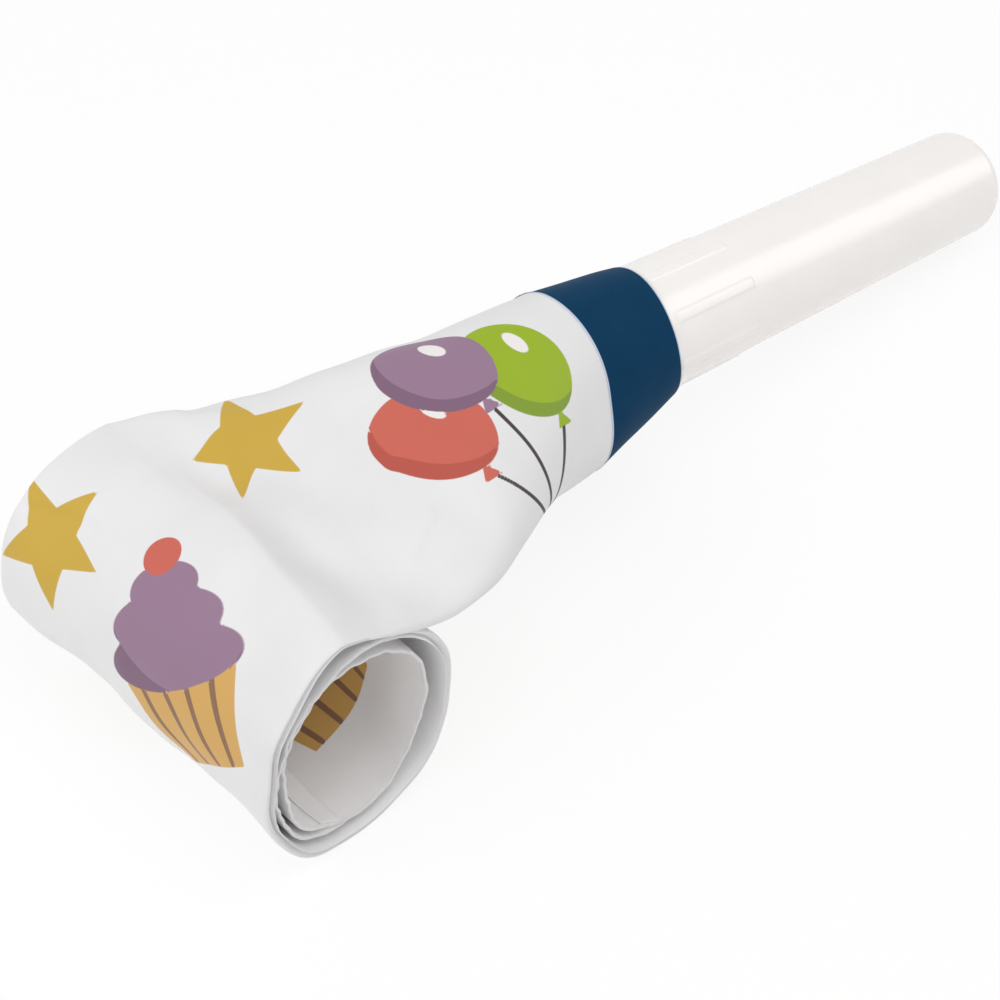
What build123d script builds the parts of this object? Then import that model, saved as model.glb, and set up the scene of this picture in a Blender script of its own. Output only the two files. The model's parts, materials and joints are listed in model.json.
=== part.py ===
"""Party horn blower: a moulded mouthpiece with a reed, a banded joint and a rolled paper tube."""
import math
import os

from build123d import *

os.makedirs("parts", exist_ok=True)

# Driving dimensions in mm. The horn frame has X along the mouthpiece, 0 at the band's front edge.
BAND_LENGTH = 13.9
BAND_FRONT_R = 8.0
BAND_REAR_R = 10.0
BAND_T = 0.20
NECK_WALL = 0.15

MOUTH_LENGTH = 62.8
MOUTH_TIP_R = 6.85
MOUTH_TIP_ROUND = 2.2
MOUTH_SOCKET_DEPTH = 12.5
TIP_BORE_R = 4.6
TIP_BORE_LENGTH = 14.0
BORE_REAR_R = 6.2
PAD_COUNT = 8
PAD_LENGTH = 13.5
PAD_WIDTH = 1.6
PAD_HEIGHT = 0.15
PAD_ROOT = 0.45
PAD_CORNER_R = 0.48
PAD_START = 0.5

COLLAR_R = 7.0
COLLAR_LENGTH = 9.0
COLLAR_INSET = 1.0
TROUGH_R = 3.6
TROUGH_WALL = 1.0
TROUGH_LENGTH = 25.0
WEDGE_WIDTH = 6.4
WEDGE_LENGTH = 5.0
WEDGE_TOP = 3.4
REED_WIDTH = 6.0
REED_LENGTH = 24.0
REED_T = 0.20
REED_BEAD_R = 0.40
REED_TILT = 2.0

TONGUE_WIDTH = 43.0
TONGUE_T = 0.64
PAPER_T = 0.12
STRIP_WIDTH = 1.2
STRIP_T = 0.30
STRIP_LEAD = 1.2
ROLL_R = 13.70
ROLL_START_X = -58.0
LEAD_Z = -1.40
TURN_PITCH = 1.20
SEGMENT_TURN = 45.0
SEGMENT_COUNT = 20
SEAL_LAP = 3.0
SEAL_T = 0.10

# Clearances
SEGMENT_GAP = 0.36
REED_CLEAR = 0.03
BEAD_LIFT = 0.05
STRIP_GLUE = 0.05

# Cutting tools run this far past the faces that they open, and lines and arcs are sampled this often
CUT_OVER = 1.0
ARC_SAMPLES = 30
TIP_SAMPLES = 90
BISECTIONS = 60

# Band, neck paper and mouthpiece share one cone under the band
CONE_SLOPE = (BAND_REAR_R - BAND_FRONT_R) / BAND_LENGTH


def cone_r(x, inset):
    """Radius of the shared cone at x, moved in by inset."""
    return BAND_FRONT_R - CONE_SLOPE * x - inset


def turned(points):
    """Solid turned about X from a closed outline of (x, radius) points."""
    outline = Polyline(*[(x, 0, r) for x, r in points], close=True)
    return revolve(make_face(outline), Axis.X)


band_inset = BAND_T
paper_inset = BAND_T + NECK_WALL

neck_band = turned([
    (0, cone_r(0, 0)),
    (-BAND_LENGTH, cone_r(-BAND_LENGTH, 0)),
    (-BAND_LENGTH, cone_r(-BAND_LENGTH, band_inset)),
    (0, cone_r(0, band_inset)),
])

# Mouthpiece: tapered outside, straight bore at the tip, cylindrical socket for the reed collar
socket_floor = -MOUTH_SOCKET_DEPTH + COLLAR_INSET + COLLAR_LENGTH
mouth_outer = turned([
    (MOUTH_LENGTH, 0),
    (MOUTH_LENGTH, MOUTH_TIP_R),
    (0, cone_r(0, paper_inset)),
    (-MOUTH_SOCKET_DEPTH, cone_r(-MOUTH_SOCKET_DEPTH, paper_inset)),
    (-MOUTH_SOCKET_DEPTH, 0),
])
tip_edge = mouth_outer.edges().filter_by(GeomType.CIRCLE).sort_by(Axis.X)[-1]
mouth_outer = fillet(tip_edge, MOUTH_TIP_ROUND)
mouth_bore = turned([
    (MOUTH_LENGTH + CUT_OVER, 0),
    (MOUTH_LENGTH + CUT_OVER, TIP_BORE_R),
    (MOUTH_LENGTH - TIP_BORE_LENGTH, TIP_BORE_R),
    (socket_floor, BORE_REAR_R),
    (socket_floor, COLLAR_R),
    (-MOUTH_SOCKET_DEPTH - CUT_OVER, COLLAR_R),
    (-MOUTH_SOCKET_DEPTH - CUT_OVER, 0),
])
mouthpiece = mouth_outer - mouth_bore


def mouth_r(x):
    """Outer radius of the mouthpiece in front of the band."""
    front = cone_r(0, paper_inset)
    return front + (MOUTH_TIP_R - front) * x / MOUTH_LENGTH


pad_x = PAD_START + PAD_LENGTH / 2
for k in range(PAD_COUNT):
    pad = Box(PAD_LENGTH, PAD_WIDTH, PAD_ROOT + PAD_HEIGHT)
    pad = fillet(pad.edges().filter_by(Axis.Z), PAD_CORNER_R)
    pad = Pos(pad_x, 0, mouth_r(pad_x) + (PAD_HEIGHT - PAD_ROOT) / 2) * pad
    mouthpiece = mouthpiece + Rot(360.0 * k / PAD_COUNT, 0, 0) * pad

# Reed shell: collar and trough with one channel through both
collar_front = socket_floor
collar_rear = collar_front - COLLAR_LENGTH
trough_front = collar_front + TROUGH_LENGTH


def along_x(radius, x0, x1):
    """Round bar about X from x0 to x1."""
    return Pos((x0 + x1) / 2, 0, 0) * Rot(0, 90, 0) * Cylinder(radius, x1 - x0)


def block(x0, x1, half_y, z0, z1):
    """Box between x0 and x1, z0 and z1, centred on y = 0."""
    return Pos((x0 + x1) / 2, 0, (z0 + z1) / 2) * Box(x1 - x0, 2 * half_y, z1 - z0)


lower = block(collar_rear - CUT_OVER, trough_front + CUT_OVER, 2 * COLLAR_R, -2 * COLLAR_R, 0)
trough = along_x(TROUGH_R, collar_front - CUT_OVER, trough_front) & lower
channel_r = TROUGH_R - TROUGH_WALL
channel = along_x(channel_r, collar_rear - CUT_OVER, trough_front - TROUGH_WALL) & lower
wedge_rear = collar_front - WEDGE_LENGTH
wedge_slot = block(wedge_rear, collar_front + CUT_OVER, WEDGE_WIDTH / 2, 0, WEDGE_TOP)
collar = along_x(COLLAR_R, collar_rear, collar_front)
reed_shell = collar + trough - channel - wedge_slot

# Reed tongue with a bead along its root, held under the wedge
bead_x = collar_front - 2 * REED_BEAD_R
bead_z = REED_BEAD_R + BEAD_LIFT
reed_blade = block(0, REED_LENGTH, REED_WIDTH / 2, -REED_T / 2, REED_T / 2)
reed_bead = Rot(90, 0, 0) * Cylinder(REED_BEAD_R, REED_WIDTH)
reed_tongue = Pos(bead_x, 0, bead_z) * Rot(0, -REED_TILT, 0) * (reed_blade + reed_bead)

wedge_bottom = bead_z + REED_T
wedge_body = block(wedge_rear, collar_front, WEDGE_WIDTH / 2, wedge_bottom, WEDGE_TOP)
bead_seat = Rot(90, 0, 0) * Cylinder(REED_BEAD_R + REED_CLEAR, WEDGE_WIDTH + CUT_OVER)
reed_wedge = wedge_body - Pos(bead_x, 0, bead_z) * bead_seat

# Neck: shares of the way from the round joint to the flat lead. Each row gives the share along,
# near and far half width, height and depth, then the crown's offset in half widths and the squareness
FLAT_SHARE = 0.97
NECK_ROWS = [
    (0.00, 0.00, 0.00, 0.00, 0.00, 0.00, 2.0),
    (0.16, 0.21, 0.04, 0.02, 0.06, 0.01, 2.0),
    (0.32, 0.48, 0.12, 0.10, 0.23, 0.04, 2.0),
    (0.48, 0.74, 0.23, 0.26, 0.48, 0.09, 2.0),
    (0.61, 0.92, 0.35, 0.46, 0.73, 0.14, 2.0),
    (0.73, 0.99, 0.50, 0.64, 0.89, 0.17, 2.2),
    (0.84, 1.00, 0.70, 0.80, 0.96, 0.16, 2.6),
    (0.93, 1.00, 0.92, 0.95, 0.99, 0.06, 3.8),
    (FLAT_SHARE, 1.00, 1.00, 1.00, 1.00, 0.00, 5.0),
    (1.00, 1.00, 1.00, 1.00, 1.00, 0.00, 5.0),
]
SECTION_POINTS = 48
SECTION_COUNT = 24

joint_x = -BAND_LENGTH
joint_r = cone_r(joint_x, band_inset)
lead_end = ROLL_START_X + SEGMENT_GAP / 2
half_width = TONGUE_WIDTH / 2
half_t = TONGUE_T / 2


def neck_row(along):
    """Neck row at a share along: cubic between the listed rows, with slopes from the neighbouring rows."""
    k = 0
    while k < len(NECK_ROWS) - 2 and along > NECK_ROWS[k + 1][0]:
        k += 1
    first = NECK_ROWS[k]
    second = NECK_ROWS[k + 1]
    before = NECK_ROWS[max(k - 1, 0)]
    after = NECK_ROWS[min(k + 2, len(NECK_ROWS) - 1)]
    span = second[0] - first[0]
    u = (along - first[0]) / span
    values = []
    for j in range(1, 7):
        slope0 = (second[j] - before[j]) / (second[0] - before[0]) * span
        slope1 = (after[j] - first[j]) / (after[0] - first[0]) * span
        rise = second[j] - first[j]
        curve = 3 * rise - 2 * slope0 - slope1
        values.append(first[j] + u * (slope0 + u * (curve + u * (slope0 + slope1 - 2 * rise))))
    return values


def neck_face(along, inset):
    """Closed section at a share along: four quarter superellipses about the crown line, moved in by inset."""
    near, far, top, bottom, lean, power = neck_row(along)
    x = joint_x + (lead_end - joint_x) * along
    near_reach = joint_r + near * (half_width - joint_r)
    far_reach = joint_r + far * (half_width - joint_r)
    height = joint_r + top * (half_t - joint_r)
    depth = joint_r + bottom * (half_t - joint_r)
    crown = lean * half_width
    points = []
    for k in range(SECTION_POINTS):
        a = 2 * math.pi * k / SECTION_POINTS
        c = math.cos(a)
        s = math.sin(a)
        reach = far_reach - crown if c >= 0 else near_reach + crown
        rise = height if s >= 0 else depth
        y = crown + math.copysign(abs(c) ** (2 / power), c) * (reach - inset)
        z = LEAD_Z * min(along / FLAT_SHARE, 1) + math.copysign(abs(s) ** (2 / power), s) * (rise - inset)
        points.append((y, z))
    plane = Plane(origin=(x, 0, 0), x_dir=(0, 1, 0), z_dir=(1, 0, 0))
    return make_face(plane * Spline(*points, periodic=True))


def round_face(x, radius):
    """Round section at x."""
    plane = Plane(origin=(x, 0, 0), x_dir=(0, 1, 0), z_dir=(1, 0, 0))
    return plane * Circle(radius)


outer_faces = [round_face(joint_x, joint_r)]
inner_faces = [round_face(joint_x, joint_r - NECK_WALL)]
shares = [FLAT_SHARE * k / SECTION_COUNT for k in range(1, SECTION_COUNT + 1)] + [1.0]
for along in shares:
    outer_faces.append(neck_face(along, 0))
    inner_faces.append(neck_face(along, PAPER_T))
neck_skin = loft(outer_faces, ruled=True) - loft(inner_faces, ruled=True)
neck_sleeve = turned([
    (0, cone_r(0, band_inset)),
    (joint_x, cone_r(joint_x, band_inset)),
    (joint_x, cone_r(joint_x, paper_inset)),
    (0, cone_r(0, paper_inset)),
])
paper_neck = neck_skin + neck_sleeve

# Rolled tongue: tangent arcs of equal turn, whose radius shrinks by the pitch once a turn
def arc_radius(k):
    """Radius of the middle of arc k: the roll's outside less half the tube and the turns so far."""
    turns = (k + 0.5) * SEGMENT_TURN / 360.0
    return ROLL_R - half_t - TURN_PITCH * turns


hinges = [(ROLL_START_X, LEAD_Z)]
centres = []
radii = []
for k in range(SEGMENT_COUNT):
    a0 = math.radians(k * SEGMENT_TURN)
    a1 = math.radians((k + 1) * SEGMENT_TURN)
    radius = arc_radius(k)
    x, z = hinges[-1]
    cx = x + radius * math.sin(a0)
    cz = z - radius * math.cos(a0)
    centres.append((cx, cz))
    radii.append(radius)
    hinges.append((cx - radius * math.sin(a1), cz + radius * math.cos(a1)))


def arc_point(k, radius, degrees):
    """Point of arc k at a radius and a turning angle."""
    a = math.radians(degrees)
    return (centres[k][0] - radius * math.sin(a), centres[k][1] + radius * math.cos(a))


def arc_slab(k, inner, outer, width, start, end):
    """Curved slab of arc k between two radii and two turning angles."""
    middle = (start + end) / 2
    o0 = arc_point(k, outer, start)
    om = arc_point(k, outer, middle)
    o1 = arc_point(k, outer, end)
    i0 = arc_point(k, inner, start)
    im = arc_point(k, inner, middle)
    i1 = arc_point(k, inner, end)
    outline = ThreePointArc(o0, om, o1) + Line(o1, i1) + ThreePointArc(i1, im, i0) + Line(i0, o0)
    return extrude(Plane.XZ * make_face(outline), width / 2, both=True)


paper_arcs = []
strip_arcs = []
for k in range(SEGMENT_COUNT):
    radius = radii[k]
    trim = math.degrees(SEGMENT_GAP / 2 / radius)
    start = k * SEGMENT_TURN + trim
    end = (k + 1) * SEGMENT_TURN - trim
    hollow_t = half_t - PAPER_T
    skin = arc_slab(k, radius - half_t, radius + half_t, TONGUE_WIDTH, start, end)
    hollow_width = TONGUE_WIDTH - 2 * PAPER_T
    hollow = arc_slab(k, radius - hollow_t, radius + hollow_t, hollow_width, start - trim, end + trim)
    paper_arcs.append(skin - hollow)
    strip_arcs.append(arc_slab(k, radius - hollow_t, radius - hollow_t + STRIP_T, STRIP_WIDTH, start, end))

# Outer end of the recoil strip, glued on the floor of the flat lead
lead_floor = LEAD_Z - half_t + PAPER_T + STRIP_GLUE
strip_lead = block(lead_end, lead_end + STRIP_LEAD, STRIP_WIDTH / 2, lead_floor, lead_floor + STRIP_T)

# Tape folded over the inner end of the tube
last = SEGMENT_COUNT - 1
last_r = radii[last]
last_trim = math.degrees(SEGMENT_GAP / 2 / last_r)
last_end = (last + 1) * SEGMENT_TURN - last_trim
lap_turn = math.degrees(SEAL_LAP / last_r)
fold_turn = math.degrees(SEAL_T / last_r)
seal_r0 = last_r - half_t - SEAL_T
seal_r1 = last_r + half_t + SEAL_T
seal_block = arc_slab(last, seal_r0, seal_r1, TONGUE_WIDTH, last_end - lap_turn, last_end + fold_turn)
core_width = TONGUE_WIDTH + CUT_OVER
seal_core = arc_slab(last, last_r - half_t, last_r + half_t, core_width, last_end - 2 * lap_turn, last_end)
end_seal = seal_block - seal_core

# Resting attitude: roll and tip both touch the table
floor_points = []
for k in range(SEGMENT_COUNT):
    for step in range(ARC_SAMPLES):
        floor_points.append(arc_point(k, radii[k] + half_t, (k + step / ARC_SAMPLES) * SEGMENT_TURN))
tip_points = []
for step in range(TIP_SAMPLES + 1):
    a = math.radians(90.0 * step / TIP_SAMPLES)
    tip_x = MOUTH_LENGTH - MOUTH_TIP_ROUND + MOUTH_TIP_ROUND * math.sin(a)
    tip_z = -MOUTH_TIP_R + MOUTH_TIP_ROUND - MOUTH_TIP_ROUND * math.cos(a)
    tip_points.append((tip_x, tip_z))


def lowest(points, pitch):
    """Least height of points after the horn is pitched tip down."""
    s = math.sin(math.radians(pitch))
    c = math.cos(math.radians(pitch))
    return min(z * c - x * s for x, z in points)


low = 0.0
high = 45.0
for _ in range(BISECTIONS):
    rest_pitch = (low + high) / 2
    if lowest(tip_points, rest_pitch) > lowest(floor_points, rest_pitch):
        low = rest_pitch
    else:
        high = rest_pitch

pieces = {
    "mouthpiece": mouthpiece,
    "reed_shell": reed_shell,
    "reed_wedge": reed_wedge,
    "reed_tongue": reed_tongue,
    "neck_band": neck_band,
    "paper_neck": paper_neck,
    "coil_00": strip_lead,
    "end_seal": end_seal,
}
for k in range(SEGMENT_COUNT):
    pieces[f"tongue_{k + 1:02d}"] = paper_arcs[k]
    pieces[f"coil_{k + 1:02d}"] = strip_arcs[k]

pitched = {name: Rot(0, rest_pitch, 0) * shape for name, shape in pieces.items()}
boxes = [shape.bounding_box() for shape in pitched.values()]
x_low = min(b.min.X for b in boxes)
x_high = max(b.max.X for b in boxes)
z_low = min(b.min.Z for b in boxes)
z_high = max(b.max.Z for b in boxes)
shift = Pos(-(x_low + x_high) / 2, 0, -z_low)
rest = shift * Rot(0, rest_pitch, 0)

for name, shape in pieces.items():
    export_step(rest * shape, f"parts/{name}.step")


def at_rest(x, z):
    """Horn frame point on the middle plane, in the resting frame."""
    s = math.sin(math.radians(rest_pitch))
    c = math.cos(math.radians(rest_pitch))
    return (x * c + z * s - (x_low + x_high) / 2, z * c - x * s - z_low)


print(f"pitch {rest_pitch:.4f} deg, box {x_high - x_low:.2f} x {TONGUE_WIDTH:.2f} x {z_high - z_low:.2f}")
for k in range(SEGMENT_COUNT):
    px, pz = at_rest(*hinges[k])
    print(f"hinge tongue_{k + 1:02d} {px:.4f} {pz:.4f} radius {radii[k]:.3f}")
px, pz = at_rest(bead_x, bead_z)
print(f"hinge reed_tongue {px:.4f} {pz:.4f}")
px, pz = at_rest(MOUTH_LENGTH, 0)
print(f"tip {px:.4f} {pz:.4f}")
px, pz = at_rest(0, 0)
print(f"horn origin {px:.4f} {pz:.4f}")

# Least gap between the turns of the roll and between roll and lead, on points
rail = []
for k in range(SEGMENT_COUNT):
    for step in range(ARC_SAMPLES):
        turn = SEGMENT_TURN * (k + step / ARC_SAMPLES)
        rail.append((turn, arc_point(k, radii[k], turn)))
for step in range(ARC_SAMPLES):
    rail.append((0.0, (ROLL_START_X + ROLL_R * step / ARC_SAMPLES, LEAD_Z)))
least = 1e9
for turn_a, a in rail:
    for turn_b, b in rail:
        if turn_b - turn_a > 180:
            least = min(least, math.dist(a, b) - TONGUE_T)
print(f"least gap between turns {least:.3f} mm")
strip_length = sum(math.radians(SEGMENT_TURN) * r for r in radii)
print(f"rolled tongue {strip_length:.1f} mm long, flat lead to band {-ROLL_START_X - BAND_LENGTH:.1f} mm")
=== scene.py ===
# %% [markdown]
# A party horn blower has five things to see: a moulded mouthpiece, a dark paper band, a flared paper
# neck, a flattened paper tube rolled up like a snail, and a print on that paper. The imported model
# gives every piece its place and tells which body moves it. This lesson dresses those pieces with
# surfaces worked out in numpy and with materials made of nodes.

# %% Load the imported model
import json
import math

import bpy
import numpy as np
from mathutils import Matrix, Vector


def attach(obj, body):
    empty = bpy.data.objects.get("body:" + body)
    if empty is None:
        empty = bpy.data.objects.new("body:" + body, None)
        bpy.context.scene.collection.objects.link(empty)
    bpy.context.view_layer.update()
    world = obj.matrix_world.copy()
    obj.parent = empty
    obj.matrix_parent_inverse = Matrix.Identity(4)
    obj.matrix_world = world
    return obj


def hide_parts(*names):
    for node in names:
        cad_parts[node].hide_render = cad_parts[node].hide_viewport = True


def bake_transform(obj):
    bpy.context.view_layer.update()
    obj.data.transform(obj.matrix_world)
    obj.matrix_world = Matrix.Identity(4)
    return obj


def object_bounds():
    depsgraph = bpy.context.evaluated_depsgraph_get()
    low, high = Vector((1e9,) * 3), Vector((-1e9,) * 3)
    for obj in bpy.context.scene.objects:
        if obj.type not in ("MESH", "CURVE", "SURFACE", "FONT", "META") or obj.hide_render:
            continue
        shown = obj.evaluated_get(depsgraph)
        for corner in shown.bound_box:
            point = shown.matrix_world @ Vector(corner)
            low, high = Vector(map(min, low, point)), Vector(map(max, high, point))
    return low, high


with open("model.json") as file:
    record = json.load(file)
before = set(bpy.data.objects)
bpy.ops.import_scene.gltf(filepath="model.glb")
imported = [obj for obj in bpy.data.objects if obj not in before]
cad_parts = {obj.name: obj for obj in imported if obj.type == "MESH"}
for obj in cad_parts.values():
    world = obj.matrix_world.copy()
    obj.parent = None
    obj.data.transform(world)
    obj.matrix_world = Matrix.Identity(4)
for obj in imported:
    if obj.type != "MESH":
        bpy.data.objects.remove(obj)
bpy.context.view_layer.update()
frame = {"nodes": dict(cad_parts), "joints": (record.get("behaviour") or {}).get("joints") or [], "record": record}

# %% [markdown]
# The horn lies pitched on the table, so its own axes are easier to think in: x along the mouthpiece
# with 0 at the band's front edge, y along the axis of the roll, z up through the band. The record's
# bore mount gives the direction of the mouthpiece and the place of its tip, so nothing is measured twice.

# %% The horn's own axes, in millimetres
MM = 0.001
MOUTH_LENGTH = 62.8

tip_bore = next(m for m in frame["record"]["mounts"] if m["name"] == "tip_bore")
mouth_axis = np.array(tip_bore["axis"], float)
roll_axis = np.array([0.0, 1.0, 0.0])
band_up = np.cross(mouth_axis, roll_axis)
bore_length = tip_bore["dims"]["length_mm"]
horn_origin = np.array(tip_bore["pos_m"]) + mouth_axis * (bore_length / 2 - MOUTH_LENGTH) * MM


def to_frame(points):
    """Horn millimetres to the part's metres: the origin plus each coordinate along its own axis."""
    along = points[..., 0:1] * mouth_axis
    across = points[..., 1:2] * roll_axis
    upward = points[..., 2:3] * band_up
    return horn_origin + MM * (along + across + upward)


def to_horn(point):
    """The part's metres to horn millimetres: the offset from the origin, measured along each axis."""
    offset = (np.array(point, float) - horn_origin) / MM
    return np.array([offset @ mouth_axis, offset @ roll_axis, offset @ band_up])


print("horn origin in mm:", np.round(horn_origin / MM, 2))

# %% [markdown]
# The camera comes first, because every later choice is judged through it. Its angles, distance and
# lens were found by fitting the band's two edges, the mouthpiece's outline and the roll's two rims.
# A camera could be aimed with a constraint, but a plain matrix keeps the small tilt of the picture.

# %% Camera
CAMERA_AZIMUTH = -48.727
CAMERA_ELEVATION = 39.327
CAMERA_TILT = 8.912
CAMERA_DISTANCE = 260.0
CAMERA_SIDE = 15.18
CAMERA_RISE = 19.022
CAMERA_LENS = 81.107
SENSOR_WIDTH = 36.0

azimuth, elevation, tilt = np.radians([CAMERA_AZIMUTH, CAMERA_ELEVATION, CAMERA_TILT])
level_right = np.array([math.cos(azimuth), math.sin(azimuth), 0.0])
camera_back = np.array([
    math.sin(azimuth) * math.cos(elevation),
    -math.cos(azimuth) * math.cos(elevation),
    math.sin(elevation),
])
level_up = np.cross(camera_back, level_right)
camera_right = math.cos(tilt) * level_right + math.sin(tilt) * level_up
camera_up = math.cos(tilt) * level_up - math.sin(tilt) * level_right
camera_place = CAMERA_DISTANCE * camera_back - CAMERA_SIDE * camera_right - CAMERA_RISE * camera_up
horn_turn = np.column_stack([mouth_axis, roll_axis, band_up])

camera_data = bpy.data.cameras.new("studio_camera")
camera_data.sensor_width = SENSOR_WIDTH
camera_data.lens = CAMERA_LENS
camera_data.clip_start = 0.01
camera = bpy.data.objects.new("studio_camera", camera_data)
bpy.context.scene.collection.objects.link(camera)
camera_matrix = np.eye(4)
camera_matrix[:3, :3] = horn_turn @ np.column_stack([camera_right, camera_up, camera_back])
camera_matrix[:3, 3] = to_frame(camera_place)
camera.matrix_world = Matrix(camera_matrix.tolist())
bpy.context.scene.camera = camera
print("camera at, in mm:", np.round(camera_matrix[:3, 3] / MM, 1))

# %% [markdown]
# Every surface below is a grid of points: rows along the piece, columns round or across it. One
# function turns such a grid into a mesh. Blender could be asked for each face in turn, but whole
# arrays through foreach_set are far quicker and leave the mesh code in one place.


# %% From a grid of points to a mesh
def grid_piece(name, points, wrap, ring=False, fields=None, normals=None):
    """Object from a grid of horn points: each face joins a point, its next column and the next row.

    A face looks along the cross product of the rows' direction and the columns' direction. wrap joins the
    last column to the first, and ring the last row to the first. fields are numbers for each point, kept
    as attributes.
    """
    rows, columns = points.shape[:2]
    index = np.arange(rows * columns).reshape(rows, columns)
    if wrap:
        index = np.concatenate([index, index[:, :1]], axis=1)
    if ring:
        index = np.concatenate([index, index[:1]])
    corners = [index[:-1, :-1], index[1:, :-1], index[1:, 1:], index[:-1, 1:]]
    quads = np.stack(corners, axis=-1).reshape(-1, 4)
    mesh = bpy.data.meshes.new(name)
    mesh.vertices.add(rows * columns)
    mesh.vertices.foreach_set("co", to_frame(points).astype(np.float32).ravel())
    mesh.loops.add(quads.size)
    mesh.loops.foreach_set("vertex_index", quads.astype(np.int32).ravel())
    mesh.polygons.add(len(quads))
    mesh.polygons.foreach_set("loop_start", np.arange(0, quads.size, 4, dtype=np.int32))
    mesh.update(calc_edges=True)
    mesh.shade_smooth()
    for key, values in (fields or {}).items():
        layer = mesh.attributes.new(key, "FLOAT", "POINT")
        layer.data.foreach_set("value", values.astype(np.float32).ravel())
    if normals is not None:
        mesh.normals_split_custom_set_from_vertices((normals @ horn_turn.T).reshape(-1, 3).tolist())
    made = bpy.data.objects.new(name, mesh)
    bpy.context.scene.collection.objects.link(made)
    return made


def smooth_step(share):
    """Soft ramp from 0 to 1: three times the square less twice the cube of the clipped share."""
    t = np.clip(share, 0.0, 1.0)
    return t * t * (3 - 2 * t)


print("grid_piece and smooth_step are ready")

# %% [markdown]
# The rolled tube is the heart of the horn. The record holds a hinge between every two stiff arcs of
# the roll, and each arc turns by the same angle, so the hinges alone give every arc's radius and
# centre. That keeps the paper exactly on the bodies that carry it.

# %% The line of the roll, from its hinges
ARC_TURN = math.radians(45.0)
ROWS_PER_ARC = 28

unroll = [j for j in frame["joints"] if j["name"].startswith("unroll")]
hinges = np.array([to_horn(j["pos_m"]) for j in unroll])[:, [0, 2]]
arc_count = len(unroll)
chords = np.linalg.norm(np.diff(hinges, axis=0), axis=1)
arc_radii = chords / (2 * math.sin(ARC_TURN / 2))
arc_radii = np.append(arc_radii, 2 * arc_radii[-1] - arc_radii[-2])
arc_starts = ARC_TURN * np.arange(arc_count)
arc_centres = hinges + arc_radii[:, None] * np.column_stack([np.sin(arc_starts), -np.cos(arc_starts)])

roll_row = np.arange(arc_count * ROWS_PER_ARC + 1)
row_arc = np.minimum(roll_row // ROWS_PER_ARC, arc_count - 1)
roll_angle = ARC_TURN * roll_row / ROWS_PER_ARC
roll_normal = np.column_stack([-np.sin(roll_angle), np.cos(roll_angle)])
roll_line = arc_centres[row_arc] + arc_radii[row_arc, None] * roll_normal
roll_length = np.append(0.0, np.cumsum(np.linalg.norm(np.diff(roll_line, axis=0), axis=1)))
print(f"roll: {arc_count} arcs, {roll_length[-1]:.1f} mm of paper, start radius {arc_radii[0]:.2f} mm")

# %% [markdown]
# The tube's cross-section changes from a circle at the band to a flat fold at the roll. Columns run
# round it: the top line first, then the far fold, the bottom line and the near fold. They crowd
# towards the folds, because that is where the paper turns sharply and where the eye looks.

# %% Columns round the tube
COLUMNS = 320
FOLD_CROWDING = 0.72
FOLD_SHARPNESS = 60.0

even = np.arange(COLUMNS) / COLUMNS
around = even + FOLD_CROWDING / (4 * math.pi) * np.sin(4 * math.pi * even)
round_y = np.sin(2 * math.pi * around)
flat_y = np.arcsin(np.clip(round_y, -1, 1)) * 2 / math.pi
top_sign = np.where(np.cos(2 * math.pi * around) >= 0, 1.0, -1.0)


def tube_section(flatness):
    """Unit section for each row: the sideways place slides from a sine to a straight fold line.

    The height is the root of one less a power of the sideways place, and the power grows with flatness.
    """
    flat = np.asarray(flatness)[:, None]
    side = (1 - flat) * round_y + flat * flat_y
    power = 2 * (FOLD_SHARPNESS / 2) ** flat
    rise = top_sign * np.sqrt(np.clip(1 - np.abs(side) ** power, 0, 1))
    return side, rise


spacing = np.diff(around) * COLUMNS
print(f"columns: {COLUMNS}, {spacing.min():.2f} to {spacing.max():.2f} of an even step apart")

# %% [markdown]
# The neck is paper that was round under the band and is pressed flat where the roll starts. Its near
# side opens sooner than its far side, so it puffs up on a slant. A few listed rows give the width,
# height and slant along the way, and smooth curves run through them.

# %% The neck between band and roll
BAND_LENGTH = 13.9
BAND_FRONT_R = 8.0
BAND_REAR_R = 10.0
BAND_T = 0.20
BAND_STEP = 0.07
NECK_WALL = 0.15
TUBE_WIDTH = 43.0
FLAT_HALF_T = 0.22
NECK_ROWS = 180
SLEEVE_ROWS = 8
SLEEVE_FRONT = -0.8
SLEEVE_SHORT = 0.15
NECK_GAP = 0.02
# Share along, near and far half width, height and depth, offset of the crown, flatness
NECK_SHAPE = np.array([
    (0.00, 0.00, 0.00, 0.00, 0.00, 0.00, 0.00),
    (0.16, 0.21, 0.04, 0.02, 0.06, 0.01, 0.00),
    (0.32, 0.48, 0.12, 0.10, 0.23, 0.04, 0.00),
    (0.48, 0.78, 0.23, 0.26, 0.48, 0.09, 0.02),
    (0.61, 0.98, 0.35, 0.46, 0.71, 0.14, 0.08),
    (0.73, 1.02, 0.50, 0.64, 0.87, 0.17, 0.20),
    (0.84, 1.01, 0.67, 0.80, 0.96, 0.16, 0.45),
    (0.93, 1.00, 0.87, 0.95, 0.99, 0.06, 0.80),
    (1.00, 1.00, 1.00, 1.00, 1.00, 0.00, 1.00),
])

PULL_FADE = 0.46
PULL_OUT = 2.1
PULL_OUT_BEARING = (215.0, 56.0)
PULL_IN = 1.0
PULL_IN_BEARING = (33.0, 46.0)

cone_slope = (BAND_REAR_R - BAND_FRONT_R) / BAND_LENGTH
neck_r = BAND_REAR_R - BAND_STEP
half_width = TUBE_WIDTH / 2
lead_x, lead_z = hinges[0]


def lobe(bearing, middle, half):
    """Soft bump round the tube: the squared cosine of the angle from its middle, zero beyond half."""
    off = (np.degrees(bearing) - middle + 180) % 360 - 180
    return np.cos(math.pi / 2 * np.clip(np.abs(off) / half, 0, 1)) ** 2


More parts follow.
